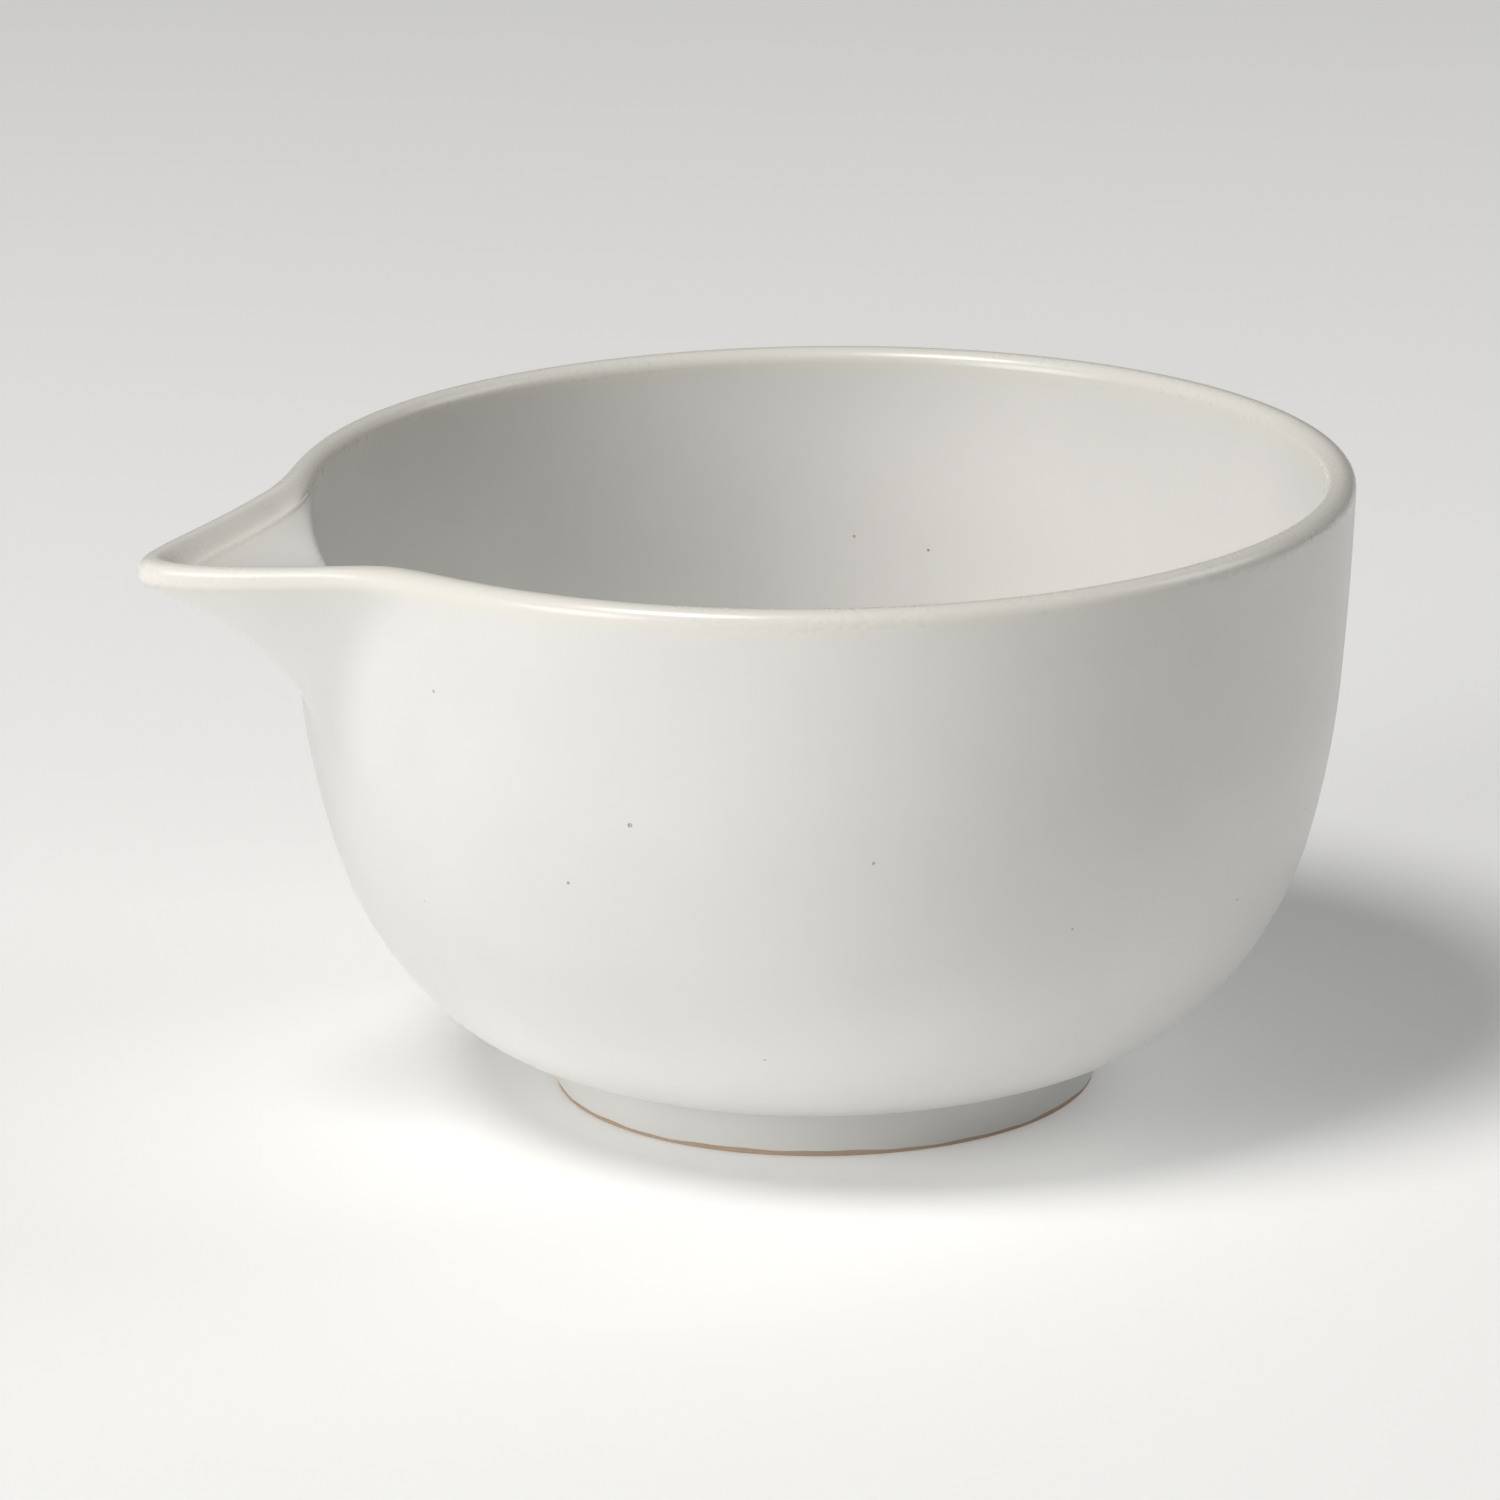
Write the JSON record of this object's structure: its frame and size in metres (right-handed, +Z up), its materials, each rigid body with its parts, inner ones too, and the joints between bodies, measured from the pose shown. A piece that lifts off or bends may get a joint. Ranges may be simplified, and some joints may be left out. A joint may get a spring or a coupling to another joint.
{
  "type": "spouted pouring bowl",
  "caption": "Round glazed stoneware bowl with a beak-shaped pouring spout at its rim and a low foot ring, for mixing a small amount and pouring it out.",
  "frame": {"origin": "on the table, below the middle of the overall length from spout tip to the far side of the rim; the bowl's own axis stands 9.5 mm towards +X from it", "axes": "+Z up, the spout points along -X, and the XZ plane is the mirror plane of the bowl"},
  "size_m": [0.1434, 0.1244, 0.0731],
  "materials": {
    "satin_white_glaze": "satin white glaze over fine stoneware, thinner along edges, with a few pinholes"
  },
  "bodies": {
    "root": {"bowl_body": "satin_white_glaze", "pouring_spout": "satin_white_glaze", "foot_ring": "satin_white_glaze"}
  },
  "joints": []
}
